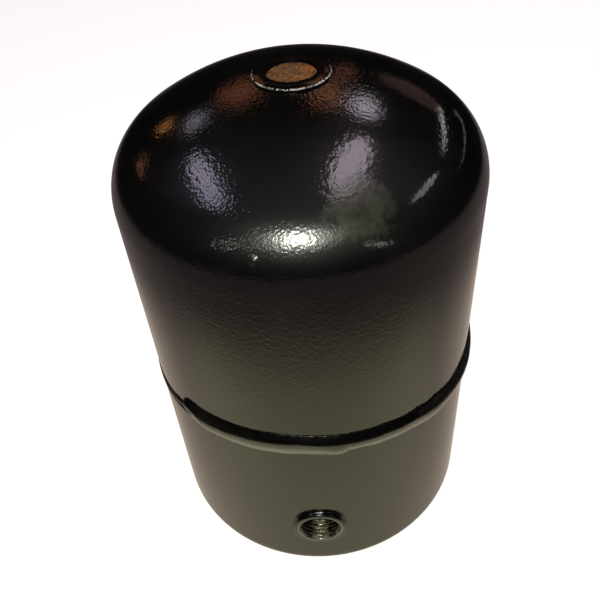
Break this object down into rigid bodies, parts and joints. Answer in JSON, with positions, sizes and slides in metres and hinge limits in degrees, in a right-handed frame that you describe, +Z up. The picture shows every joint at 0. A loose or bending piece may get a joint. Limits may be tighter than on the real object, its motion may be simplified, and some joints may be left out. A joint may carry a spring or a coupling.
{
  "type": "upright pressure tank",
  "caption": "Small upright welded steel pressure tank with a domed top, a flat base, a threaded port low on the side and a plugged port in the crown.",
  "frame": {"origin": "centre of the flat foot ring, on the floor", "axes": "+Z up along the tank's axis, -Y out through the side port"},
  "size_m": [0.1051, 0.1059, 0.1557],
  "materials": {
    "black_paint": "gloss black paint with orange peel",
    "plug_brown": "bare face, mottled brown"
  },
  "bodies": {
    "root": {"upper_shell": "black_paint", "lower_shell": "black_paint", "girth_weld_front": "black_paint", "girth_weld_right": "black_paint", "girth_weld_back": "black_paint", "girth_weld_left": "black_paint", "side_bung": "black_paint", "side_bung_weld": "black_paint", "top_bung": "black_paint", "top_bung_weld": "black_paint", "top_plug": "plug_brown"}
  },
  "joints": []
}
